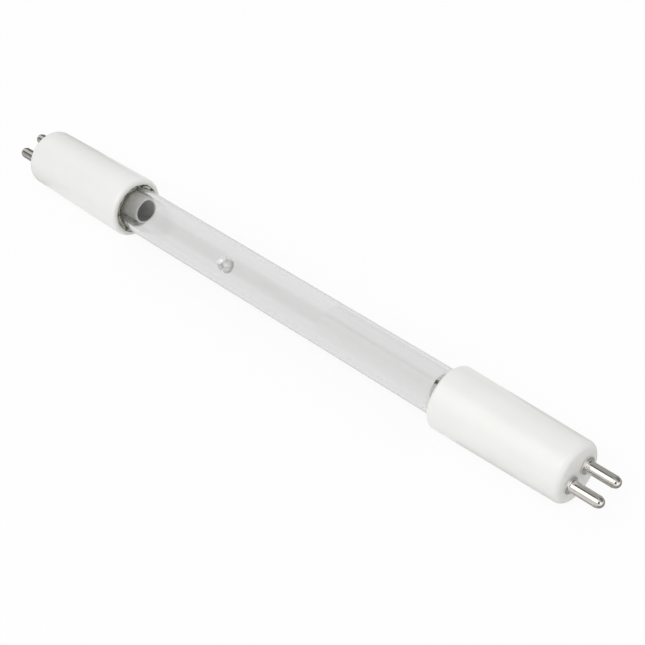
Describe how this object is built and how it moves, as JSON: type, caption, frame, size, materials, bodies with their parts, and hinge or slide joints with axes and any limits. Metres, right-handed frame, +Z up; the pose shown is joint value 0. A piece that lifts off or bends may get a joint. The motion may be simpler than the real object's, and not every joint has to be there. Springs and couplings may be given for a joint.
{
  "type": "uv lamp",
  "caption": "Double-ended tubular UV discharge lamp: a clear quartz tube with cup cathodes, held in white ceramic caps with contact pins at each end.",
  "frame": {"origin": "middle of the lamp, on the axis of the tube", "axes": "+X along the tube to the right cap, Y across the two pins of each cap, +Z up"},
  "size_m": [0.1516, 0.0124, 0.0124],
  "materials": {
    "quartz_glass": "clear, fire-polished",
    "white_ceramic": "fired, satin",
    "basing_cement": "rough, set paste",
    "cathode_metal": "drawn sheet, dull",
    "lead_metal": "drawn rod",
    "wire_metal": "drawn wire",
    "plated_contact": "bright nickel plate"
  },
  "bodies": {
    "root": {"quartz_tube": "quartz_glass", "end_cap_left": "white_ceramic", "cement_ring_left": "basing_cement", "cathode_cup_left": "cathode_metal", "lead_rod_left": "lead_metal", "bridge_wire_left": "wire_metal", "contact_pin_left_front": "plated_contact", "contact_pin_left_rear": "plated_contact", "end_cap_right": "white_ceramic", "cement_ring_right": "basing_cement", "cathode_cup_right": "cathode_metal", "lead_rod_right": "lead_metal", "bridge_wire_right": "wire_metal", "contact_pin_right_front": "plated_contact", "contact_pin_right_rear": "plated_contact"}
  },
  "joints": []
}
